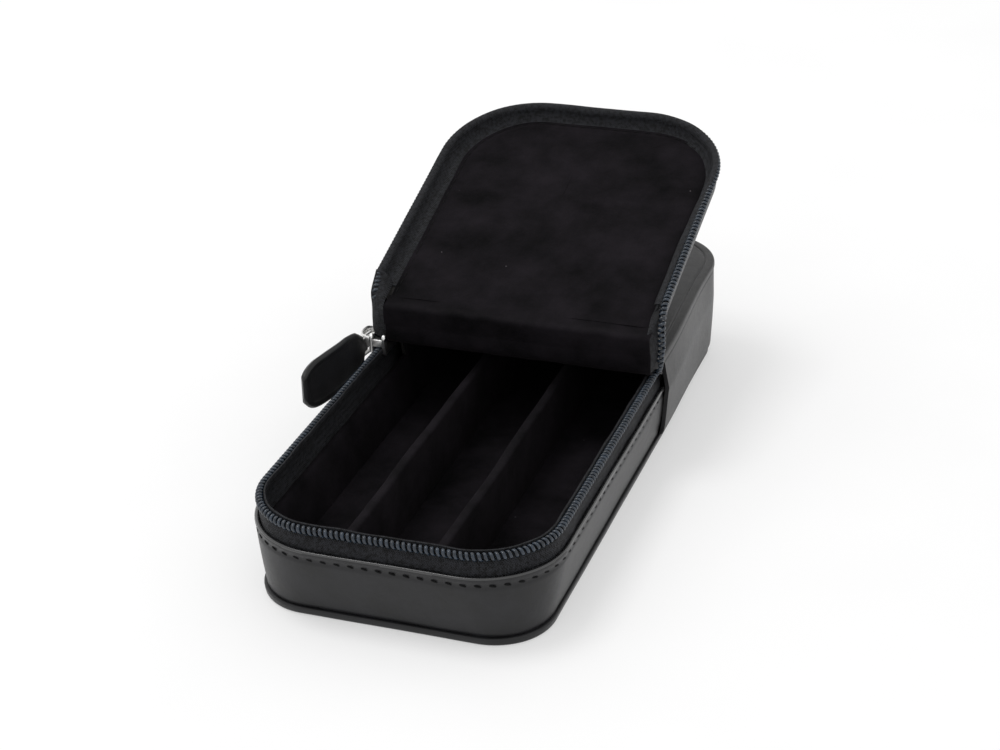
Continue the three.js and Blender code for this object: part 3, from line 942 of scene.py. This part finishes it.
lidLow, lidHigh = boxOf("lid_zip_coil")
lid = {
    "half": lidHigh.x,
    "reach": 0.0,
    "corner": 26.0,
    "skinInset": 1.5,
    "border": 4.2,
    "shift": 1.5,  # the velvet panel sits a little to the right
    "liningTop": 2.9,
    "coilZ": 5.8,
    "start": 3.0,
}
lid["reach"] = max((lidFrame.inverted() @ Vector((0, lidHigh.y, z))).y for z in (lidHigh.z - 2.0,)) + 0.15
lidOutline = {"half": lid["half"], "end": lid["reach"], "corner": lid["corner"], "lean": lambda z: 0.0}


def lidSweep(name, start, section, material, seed, amount, **kwargs):
    stations = stationsRound(1, start, start, lidOutline)
    piece = sweepMesh(
        name, lidOutline, stations, section, material,
        shape=lambda p: placed(lidFrame, ruffled(p, amount, 11, seed)), **kwargs,
    )
    return piece


def lidLeather():
    skin = lid["skinInset"]
    section = smoothed(
        [
            (skin + 1.1, 2.5, 0),
            (skin + 0.55, 2.75, 0.3),
            (skin, 2.4, 0.4),
            (skin - 0.05, 1.2, 0.3),
            (skin + 0.1, 0.0, 0.6),
            (skin + 2.2, -0.02, 0.2),
            (skin + 2.6, 0.24, 0.15),
            (skin + 3.0, -0.02, 0.2),
            (20, -0.1, 0),
            (39, -0.1, 0),
        ],
        step=3,
        closed=False,
    )
    section = [(39, 0.9), (skin + 1.2, 0.9)] + section
    piece = lidSweep("lidLeather", lid["start"], section, blackCalf, 1.7, 0.1, closedSection=False, panel=True)
    keep(piece, "lid", "leather", "lid_leather")


lidLeather()


def lidVelvet():
    border, top = lid["border"], lid["liningTop"]
    rise = [(border + 0.5, top + 0.12), (border + 0.95, top - 0.15), (border + 1.35, top - 0.15), (border + 1.8, top + 0.12)]
    rise += [(border + 3.0, top + 0.2)]
    rise += [(inset, top + 0.25 - 0.1 * math.cos(inset / 5)) for inset in np.linspace(border + 4.5, 38.5, 20)]
    section = [(38.5, top - 0.6), (border + 0.3, top - 0.6), (border, top - 0.4), (border + 0.25, top - 0.05)] + rise
    stations = stationsRound(1, lid["start"], lid["start"], lidOutline)

    def laid(points):
        return placed(lidFrame, [p + Vector((lid["shift"], 0, 0)) for p in ruffled(points, 0.24, 11, 6.6)])

    piece = sweepMesh(
        "lidVelvet", lidOutline, stations, section, velvet, closedSection=False, panel=True, shape=laid
    )
    keep(piece, "lid", "velvet", "lid_lining")
    stations = stationsRound(1, lid["start"] + 1, lid["start"] + 1, lidOutline, 1.0)
    path = runPoints(lidOutline, stations, border + 1.15, top - 0.02) + np.array((lid["shift"], 0, 0))
    up = np.tile((0, 0, 1.0), (len(path), 1))
    turned = np.array(placed(lidFrame, path))
    upTurned = np.array([lidFrame.to_3x3() @ Vector(u) for u in up])
    stitches("lidVelvetStitches", turned, upTurned, 3.2, 2.0, "lid", thickness=0.11, sink=0.05)


lidVelvet()


# each line is half of a tail, with x measured outwards: the coil, and the tape's sewn edge in front of the velvet
tails = {
    "left": {
        "side": -1,
        "joinAt": 8.5,
        "edge": (1.2, -1.2, 0),  # from the coil to the tape's free edge
        "joinEdge": (0.4, 7.0),  # on the lid tape: how far in from the lid's side, and how high
        "joinBend": (2.9, 7.2),
        "low": [(38.1, 11.2, 24.8), (38.2, 8.2, 26.6), (38.5, 5.8, 29.6), (38.6, 5.6, 34.0)],
        "high": [(38.6, 5.6, 34.0), (38.7, 5.4, 37.5), (39.1, 5.8, 41.0)],
        "lowInner": [(37.0, 11.0, 21.5), (36.4, 7.5, 25.0), (35.6, 3.7, 29.0), (35.6, 3.1, 34.0)],
        "highInner": [(35.6, 3.1, 34.0), (35.6, 2.5, 36.8), (35.7, 3.4, 39.2)],
    },
    "right": {
        "side": 1,
        "joinAt": 10.0,
        "edge": (-0.8, -0.6, 0),
        "joinEdge": (2.3, 5.9),
        "joinBend": (2.6, 3.4),
        "low": [(38.2, 12.5, 24.9), (39.0, 10.3, 26.2), (40.1, 7.9, 29.4), (40.6, 7.7, 34.0)],
        "high": [(40.6, 7.7, 34.0), (40.6, 7.7, 37.8), (40.4, 8.8, 41.4)],
        "lowInner": [(37.9, 12.6, 20.8), (38.0, 8.6, 24.6), (38.1, 4.2, 28.8), (38.1, 3.2, 34.0)],
        "highInner": [(38.1, 3.2, 34.0), (38.1, 2.8, 36.8), (37.6, 4.4, 39.2)],
    },
}


def lidZip():
    stations = stationsRound(1, tails["right"]["joinAt"], tails["left"]["joinAt"], lidOutline, 1.0, 30)
    path = runPoints(lidOutline, stations, 1.1, lid["coilZ"])
    side = unit(runPoints(lidOutline, stations, 0.1, lid["coilZ"]) - path)
    turn = np.array(lidFrame.to_3x3())
    worldPath = np.array(placed(lidFrame, path))
    worldSide = side @ turn.T
    coil = coilPiece("lidZipCoil", worldPath, worldSide, "lid", "lid_zip_coil")
    cordLine = cordPiece("lidZipCord", worldPath, worldSide, "lid")
    thick = zipper["tape"]
    section = smoothed(
        [
            (3.4, 1.2, 0),
            (3.2, 2.4, 0.6),
            (2.5, 3.7, 0.6),
            (2.25, 4.9, 0.5),
            (2.15, 5.9, 0.5),
            (1.6, 6.5, 0.5),
            (0.75, 6.6, 0.1),
            (0.65, 6.95, 0.15),
            (1.9, 6.95, 0.6),
            (2.6, 6.2, 0.6),
            (2.75, 4.9, 0.5),
            (3.0 + thick * 0.4, 3.9, 0.7),
            (3.2 + thick + 0.4, 2.75, 0.6),
            (3.4 + thick + 2.4, 2.5, 0),
            (3.4 + thick + 2.4, 2.0, 0),
            (3.4 + thick, 1.2, 0),
        ],
        step=1.0,
    )

    def opened(points):  # down the right side the tape leaves the coil bare
        moved = []
        for p in ruffled(points, 0.2, 11, 9.1):
            bare = min(max((62 - p.y) / 25, 0), 1) if p.x > 0 and p.z > 6.0 else 0
            moved.append(p + Vector((-1.5 * bare, 0, -0.9 * bare)))
        return placed(lidFrame, moved)

    run = stationsRound(1, tails["right"]["joinAt"] - 0.4, tails["left"]["joinAt"] - 0.6, lidOutline)
    tape = sweepMesh("lidZipTape", lidOutline, run, section, zipTape, shape=opened)
    keep(tape, "lid", "zip_tape", "lid_zip_tape")
    for piece in (coil, cordLine, tape):
        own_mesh(piece)


lidZip()
print("lid built")

# ---- the two folds: leather outside and velvet inside, each in two halves that meet on the spine

fold = {"half": 37.2, "topHalf": 40.2, "velvetHalf": 37.3, "shift": 1.5}


def ribbon(name, faceLine, backLine, halfAt, material, seed, amount=0.12, shift=0.0):
    # a strip across the case between two lines in the YZ plane, as wide as halfAt says at each step
    outline = list(faceLine) + list(backLine)[::-1]
    columns = np.linspace(-1, 1, 61)
    points = []
    for t in columns:
        for k, (y, z) in enumerate(outline):
            step = k if k < len(faceLine) else len(outline) - 1 - k
            points.append((t * halfAt(step / (len(faceLine) - 1)) + shift, y, z))
    points = ruffled(points, amount, 6, seed)
    size = len(outline)
    faces = gridFaces(len(columns), size, wrapColumns=True)
    faces += [tuple(range(size)), tuple(range(len(points) - size, len(points)))]
    return addMesh(name, points, faces, material, sharpAngle=45)


def offsetLine(line, thickness):  # a second line to one side of the first
    line = np.asarray(line, float)
    along = unit(np.gradient(line, axis=0))
    return line + np.stack([-along[:, 1], along[:, 0]], axis=1) * thickness


def line2d(points, count):
    flat = curveThrough([(y, z, 0) for y, z in points], count)
    return flat[:, :2]


def inPanel(matrix, y, z):
    world = matrix @ Vector((0, y, z))
    return (world.y, world.z)


def foldPieces():
    top = topHigh.z
    middle = spineLength / 2
    # leather's outer face, from the fixed top up the rear of the spine
    lower = line2d([(9.2, top), (7.6, top), (6.5, top + 0.05), (6.0, top + 0.6), inPanel(spineFrame, 1.6, 0), inPanel(spineFrame, middle, 0)], 26)
    inner = line2d([(9.2, top - 2.1), (7.6, top - 2.05), (5.6, top - 1.7), (4.7, top - 0.4), inPanel(spineFrame, 1.6, 1.15), inPanel(spineFrame, middle, 1.1)], 26)
    widths = lambda t: float(np.interp(t, [0, 0.3, 0.6, 1], [fold["topHalf"], fold["topHalf"] - 0.3, fold["half"], fold["half"]]))
    leatherLow = ribbon("lowerFoldLeather", lower, inner, widths, blackCalf, 4.4)
    upper = line2d([inPanel(spineFrame, middle, 0), inPanel(spineFrame, 4.4, 0), inPanel(spineFrame, 5.3, -0.1), inPanel(lidFrame, 0.5, -0.05), inPanel(lidFrame, 1.6, 0), inPanel(lidFrame, 3.2, 0)], 26)
    innerUp = line2d([inPanel(spineFrame, middle, 1.1), inPanel(spineFrame, 4.6, 1.15), inPanel(spineFrame, 6.2, 1.2), inPanel(lidFrame, -0.4, 1.25), inPanel(lidFrame, 1.6, 1.05), inPanel(lidFrame, 3.2, 0.9)], 26)
    leatherUp = ribbon("upperFoldLeather", upper, innerUp, lambda t: fold["half"] + 1.8 * t, blackCalf, 4.9)
    velvetLow = [(9.5, 26.5), (7.6, 26.4), (5.4, 26.8), (3.9, 28.2), inPanel(spineFrame, 0.6, 2.5), inPanel(spineFrame, middle, 2.05)]
    velvetUp = [inPanel(spineFrame, middle, 2.05), inPanel(spineFrame, 4.9, 2.15), inPanel(spineFrame, 7.2, 2.2), inPanel(lidFrame, -1.4, 3.2), inPanel(lidFrame, 1.0, 3.1), inPanel(lidFrame, 3.4, 3.05)]
    lowFace = line2d(velvetLow, 26)
    upFace = line2d(velvetUp, 26)
    lowVelvet = ribbon("lowerFoldVelvet", lowFace, offsetLine(lowFace, -0.6), lambda t: fold["velvetHalf"] - 0.6 * (1 - t), velvet, 5.3, 0.2, fold["shift"])
    upVelvet = ribbon("upperFoldVelvet", upFace, offsetLine(upFace, -0.6), lambda t: fold["velvetHalf"] - 0.2 * t, velvet, 5.3, 0.2, fold["shift"])
    for piece in (leatherLow, lowVelvet):
        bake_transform(piece)
    for piece in (leatherUp, upVelvet):
        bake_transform(piece)
    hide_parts("spine_leather")
    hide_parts("spine_lining")


foldPieces()

# ---- zip tails beside the spine


def zipTails():
    size, count = 13, 40
    for name, tail in tails.items():
        side, joinAt = tail["side"], tail["joinAt"]
        coilJoin, tapeJoin, edgeJoin, bendJoin = (
            np.array(lidFrame @ Vector((lid["half"] - inset, joinAt, height)))
            for inset, height in ((1.1, lid["coilZ"]), (4.6, 2.7), tail["joinEdge"], tail["joinBend"])
        )
        halves = (
            ("Lower", tail["low"], tail["lowInner"], ("case", "spine")),
            ("Upper", tail["high"] + [tuple(coilJoin)], tail["highInner"] + [tuple(tapeJoin)], ("spine", "lid")),
        )
        for part, outerLine, innerLine, ends in halves:
            path = curveThrough(outerLine, count)
            inner = curveThrough(innerLine, count)
            outward = np.tile((float(side), 0, 0), (count, 1))
            mirrored = np.array((side, 1, 1))
            coil = tubeMesh(f"{name}{part}TailCoil", coilRings(path * mirrored, outward), zipNylon, sharpAngle=80)
            strip = []
            for i, (outerPoint, innerPoint) in enumerate(zip(path, inner)):
                blend = i / (count - 1) if part == "Upper" else 0
                start = outerPoint + (1 - blend) * np.array(tail["edge"]) + blend * (edgeJoin - coilJoin)
                bend = np.array((start[0] - 0.7, min(start[1], innerPoint[1]) + 0.3, (start[2] + innerPoint[2]) / 2))
                bend = (1 - blend ** 2) * bend + blend ** 2 * bendJoin
                for k in range(size):
                    t = k / (size - 1)
                    strip.append(((1 - t) ** 2 * start + 2 * t * (1 - t) * bend + t * t * innerPoint) * mirrored)
            back = [p + np.array((0, 0.45, 0)) for p in strip]
            total = len(strip)
            grid = gridFaces(count, size)
            faces = grid + [tuple(total + i for i in f[::-1]) for f in grid]
            rimLoop = list(range(size)) + [i * size + size - 1 for i in range(1, count)]
            rimLoop += [total - 1 - k for k in range(1, size)] + [i * size for i in range(count - 2, 0, -1)]
            for a, b in zip(rimLoop, rimLoop[1:] + rimLoop[:1]):
                faces.append((a, b, b + total, a + total))
            threadMap = [(u, v * 0.5) for u in lengths(path) for v in range(size)] * 2
            tape = addMesh(f"{name}{part}TailTape", ruffled(strip + back, 0.1, 5, 2.2), faces, zipTape, threadMap)
            for piece, slot in ((coil, "zip_coil"), (tape, "zip_tape")):
                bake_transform(piece)


zipTails()
print("folds and zip tails built")

# ---- slider

sliderLow, sliderHigh = boxOf("slider_body")
slider = {
    "plate": 1.05,
    "opening": 2.6,
    "length": sliderHigh.y - sliderLow.y,
    "nose": (sliderHigh.z - sliderLow.z) / 2,
    "tail": 2.1,
    "low": 2.6,  # how far the plates reach below the coil
    "rise": 1.3,
    "round": 0.34,
    "prong": -0.2,  # how far the nose of each plate stands up beside the throat
}


def prism(outline, low, high, bevel, segments=3):
    # a bevelled plate: outline is (y, z) points from the slider's nose, low and high its x
    work = bmesh.new()
    faces = []
    for x in (low, high):
        faces.append([work.verts.new((x, y, z)) for y, z in outline])
    work.faces.new(faces[0][::-1])
    work.faces.new(faces[1])
    for i in range(len(outline)):
        j = (i + 1) % len(outline)
        work.faces.new((faces[0][i], faces[0][j], faces[1][j], faces[1][i]))
    bmesh.ops.recalc_face_normals(work, faces=work.faces)
    bmesh.ops.bevel(work, geom=work.edges[:], offset=bevel, segments=segments, profile=0.6, affect="EDGES")
    work.verts.index_update()
    points = [tuple(v.co) for v in work.verts]
    made = [tuple(v.index for v in f.verts) for f in work.faces]
    work.free()
    return points, made


def mergedMesh(name, parts, material, matrix, sharpAngle=35):
    points, faces = [], []
    for partPoints, partFaces in parts:
        offset = len(points)
        points += partPoints
        faces += [tuple(i + offset for i in f) for f in partFaces]
    return addMesh(name, placed(matrix, points), faces, material, sharpAngle=sharpAngle)


sliderMiddle = Vector(((sliderLow.x + sliderHigh.x) / 2, sliderLow.y, (sliderLow.z + sliderHigh.z) / 2))
# local +X points out of the case, +Y from the nose to the tail, +Z up
sliderFrame = Matrix.Translation(sliderMiddle + Vector((0, 0, slider["rise"]))) @ Matrix.Diagonal((-1, 1, 1, 1))


def sliderPieces():
    length, nose, tail = slider["length"], slider["nose"], slider["tail"]
    outline = [
        (0, -slider["low"] + 0.7),
        (-0.2, nose - 1.2),
        (0.2, nose + slider["prong"] - 0.3),
        (0.9, nose + slider["prong"]),
        (1.8, nose + slider["prong"] - 0.5),
        (3.0, nose - 0.9),
        (4.6, tail + 0.1),
        (length - 0.9, tail),
        (length, tail - 0.9),
        (length, -slider["low"] + 0.9),
        (length - 0.9, -slider["low"]),
        (0.7, -slider["low"]),
    ]
    inner = slider["opening"] / 2
    outer = inner + slider["plate"]
    edge = slider["round"]
    post = [(0.1, -0.05), (2.8, 0.3), (2.3, 2.1), (0.2, 2.0)]
    low = slider["low"]
    lip = [(1.5, -low), (length - 0.8, -low), (length - 0.8, -low + 0.55), (1.5, -low + 0.55)]
    lug = [(2.0, -1.2), (6.9, -1.2), (7.6, 0), (6.9, 1.2), (2.0, 1.2), (1.2, 0)]
    parts = [
        prism(outline, inner, outer, edge),
        prism(outline, -outer, -inner, edge),
        prism(post, -inner - 0.3, inner + 0.3, 0.2),
        prism(lip, inner - 0.8, inner + 0.4, 0.15),
        prism(lip, -inner - 0.4, -inner + 0.8, 0.15),
        prism(lug, outer - 0.3, outer + 0.22, 0.15),
    ]
    piece = mergedMesh("sliderBody", parts, nickel, sliderFrame)
    keep(piece, "slider", "nickel", "slider_body")
    arch = curveThrough(
        [(outer + 0.1, 1.1, 0.5), (outer + 1.6, 1.25, 0.8), (outer + 2.9, 2.2, 1.1), (outer + 3.2, 4.2, 1.2),
         (outer + 2.9, 6.2, 1.1), (outer + 1.6, 7.1, 0.8), (outer + 0.1, 7.2, 0.5)], 48)
    side = np.tile((0, 0, 1.0), (len(arch), 1))
    rings = tube(arch, side, 1.7, 0.55, 14)
    world = np.array(placed(sliderFrame, rings.reshape(-1, 3))).reshape(rings.shape)
    keep(tubeMesh("sliderBridge", world, nickel), "slider", "nickel", "slider_bridge")


sliderPieces()

# ---- pull

pull = {
    "pivot": (sliderLow.x - 1.1, sliderLow.y + 5.1, sliderMiddle.z + slider["rise"] - 0.7),
    "length": 33.8,
    "thickness": 1.9,
    "start": 3.4,
    "root": 5.2,
    "angle": 10,
    "wire": 0.6,
    "ringHalf": 2.5,
    "ring": 5.4,
}


def pullFrame():
    pivot = Vector(pull["pivot"])
    angle = math.radians(pull["angle"])
    along = Vector((-math.sin(angle), -math.cos(angle), 0))
    up = Vector((0, 0, 1))
    across = up.cross(along)
    rows = [(along[i], across[i], up[i], pivot[i]) for i in range(3)]
    return Matrix((*rows, (0, 0, 0, 1)))


def roundedLoop(x0, x1, half, radius, count=12):  # a closed loop in the local XZ plane
    points = []
    for cx, cz, start in ((x1 - radius, half - radius, 0), (x0 + radius, half - radius, 90), (x0 + radius, -half + radius, 180), (x1 - radius, -half + radius, 270)):
        for k in range(count):
            angle = math.radians(start + 90 * k / (count - 1))
            points.append((cx + radius * math.cos(angle), 0, cz + radius * math.sin(angle)))
    return np.array(points)


def tabHalf(u):  # half the tab's height at a distance from its root
    return float(np.interp(u, [0, 0.8, 3.5, 8, 16, 30], [1.7, 4.2, 6.0, 6.9, 7.1, 7.1]))


def pullPieces():
    local = pullFrame()
    loop = roundedLoop(0.0, pull["ring"], pull["ringHalf"], 0.9)
    side = np.tile((0, 1.0, 0), (len(loop), 1))
    rings = tube(loop, side, pull["wire"], pull["wire"], 12, closed=True)
    world = np.array(placed(local, rings.reshape(-1, 3))).reshape(rings.shape)
    keep(tubeMesh("pullLink", world, nickel, closed=True), "pull", "nickel", "pull_link")

    end, thick = pull["length"], pull["thickness"]
    upper, lower = [], []
    for u in np.linspace(pull["start"], end, 60):
        if u < pull["root"]:
            top = bottom = 1.75
        else:
            top = bottom = tabHalf(u - pull["root"])
        fromEnd = end - u
        if fromEnd < 6:
            top = top - 3.6 * (1 - math.sqrt(max(0, 1 - ((6 - fromEnd) / 6) ** 2))) - 0.1 * (6 - fromEnd)
            bottom = bottom - 5.0 * (1 - math.sqrt(max(0, 1 - ((6 - fromEnd) / 6) ** 2)))
        upper.append((u, top))
        lower.append((u, -bottom))
    across = np.linspace(-1, 1, 25)
    points = []
    for face in (1, -1):
        for (u, top), (_, bottom) in zip(upper, lower):
            for t in across:
                z = (top + bottom) / 2 + t * (top - bottom) / 2
                edge = min((1 - abs(t)) * (top - bottom) / 2, end - u, max(u - pull["start"], 0) + 0.6)
                crown = math.sqrt(max(0.0, 1 - (1 - min(edge / 0.8, 1)) ** 2))
                groove = 0.22 * math.exp(-(((edge - 1.7) / 0.35) ** 2)) if u > pull["root"] + 1.5 else 0
                swell = 0.25 * math.exp(-(((u - 7.5) / 3) ** 2))
                bendOut = 0.9 * math.sin((u - 5) / 30 * math.pi)
                points.append((u, face * ((thick / 2 + swell) * crown - groove) + bendOut, z))
    rows, columns = len(upper), len(across)
    front = gridFaces(rows, columns)
    total = rows * columns
    faces = front + [tuple(total + i for i in f[::-1]) for f in front]
    loopEdge = list(range(columns)) + [i * columns + columns - 1 for i in range(1, rows)]
    loopEdge += [total - 1 - k for k in range(1, columns)] + [i * columns for i in range(rows - 2, 0, -1)]
    for a, b in zip(loopEdge, loopEdge[1:] + loopEdge[:1]):
        faces.append((a, b, b + total, a + total))
    piece = addMesh("pullTabLeather", placed(local, ruffled(points, 0.12, 8, 3.9)), faces, blackCalf, sharpAngle=60)
    keep(piece, "pull", "leather", "pull_tab_leather")


pullPieces()
print("slider and pull built")

# ---- finishes on the CAD pieces that stay

for name in ("base_board", "front_wall_board", "rear_wall_board", "lid_board",
             "divider_left_core", "divider_right_core"):
    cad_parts[name].data.materials.clear()
    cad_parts[name].data.materials.append(board)
for name in ("zip_stop_left", "zip_stop_right"):
    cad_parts[name].data.materials.clear()
    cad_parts[name].data.materials.append(nickel)

# ---- floor, light and camera

studio = {"floorGlow": 0.4, "sky": 0.86, "key": 3.2}


def paperFloor():
    # matt seamless paper: no gloss, a faint tooth
    material, tree, shader = newMaterial("seamlessPaper", Roughness=1.0)
    shader.inputs["Emission Color"].default_value = (1, 1, 1, 1)
    shader.inputs["Emission Strength"].default_value = studio["floorGlow"]
    place = addNode(tree, "TexCoord")["Object"]
    tooth = sizedNoise(tree, place, 60, 2.0)
    tree.links.new(ramp(tree, tooth, [(0.2, "#c6c6c6"), (0.8, "#cacaca")]), shader.inputs["Base Color"])
    shader.inputs["Specular IOR Level"].default_value = 0.0
    half = 4000
    floor = addMesh("paperFloor", [(-half, -half, 0), (half, -half, 0), (half, half, 0), (-half, half, 0)], [(0, 1, 2, 3)], material)


paperFloor()


def areaLight(name, place, target, size, power):
    data = bpy.data.lights.new(name, "AREA")
    data.shape = "RECTANGLE"
    data.size, data.size_y = size
    data.energy = power
    lamp = bpy.data.objects.new(name, data)
    lamp.location = Vector(place)
    lamp.rotation_mode = "QUATERNION"
    lamp.rotation_quaternion = (Vector(place) - Vector(target)).to_track_quat("Z", "Y")
    bpy.context.scene.collection.objects.link(lamp)


world = bpy.data.worlds.new("studioSky")
world.use_nodes = True
world.node_tree.nodes["Background"].inputs["Color"].default_value = (1, 1, 1, 1)
world.node_tree.nodes["Background"].inputs["Strength"].default_value = studio["sky"]
bpy.context.scene.world = world
areaLight("overheadSoftbox", (-0.36, 0.0, 1.1), (0, 0, 0), (0.4, 0.4), studio["key"])
bpy.context.scene.view_settings.view_transform = "Standard"

view = {
    "place": (171.9, -472.8, 284.9),
    "target": (0.1, -5.2, 26.7),
    "roll": -1.92,
    "lens": 76.6,
}


def studioCamera():
    data = bpy.data.cameras.new("studioCamera")
    data.lens = view["lens"]
    data.sensor_width = 36
    camera = bpy.data.objects.new("studioCamera", data)
    place, target = Vector(view["place"]) * mm, Vector(view["target"]) * mm
    forward = (target - place).normalized()
    right = forward.cross(Vector((0, 0, 1))).normalized()
    up = right.cross(forward)
    roll = math.radians(view["roll"])
    turnedRight = right * math.cos(roll) + up * math.sin(roll)
    turnedUp = up * math.cos(roll) - right * math.sin(roll)
    axes = (turnedRight, turnedUp, -forward)
    camera.matrix_world = Matrix([[*(axis[i] for axis in axes), place[i]] for i in range(3)] + [[0, 0, 0, 1]])
    bpy.context.scene.collection.objects.link(camera)
    bpy.context.scene.camera = camera


studioCamera()

print("scene ready")
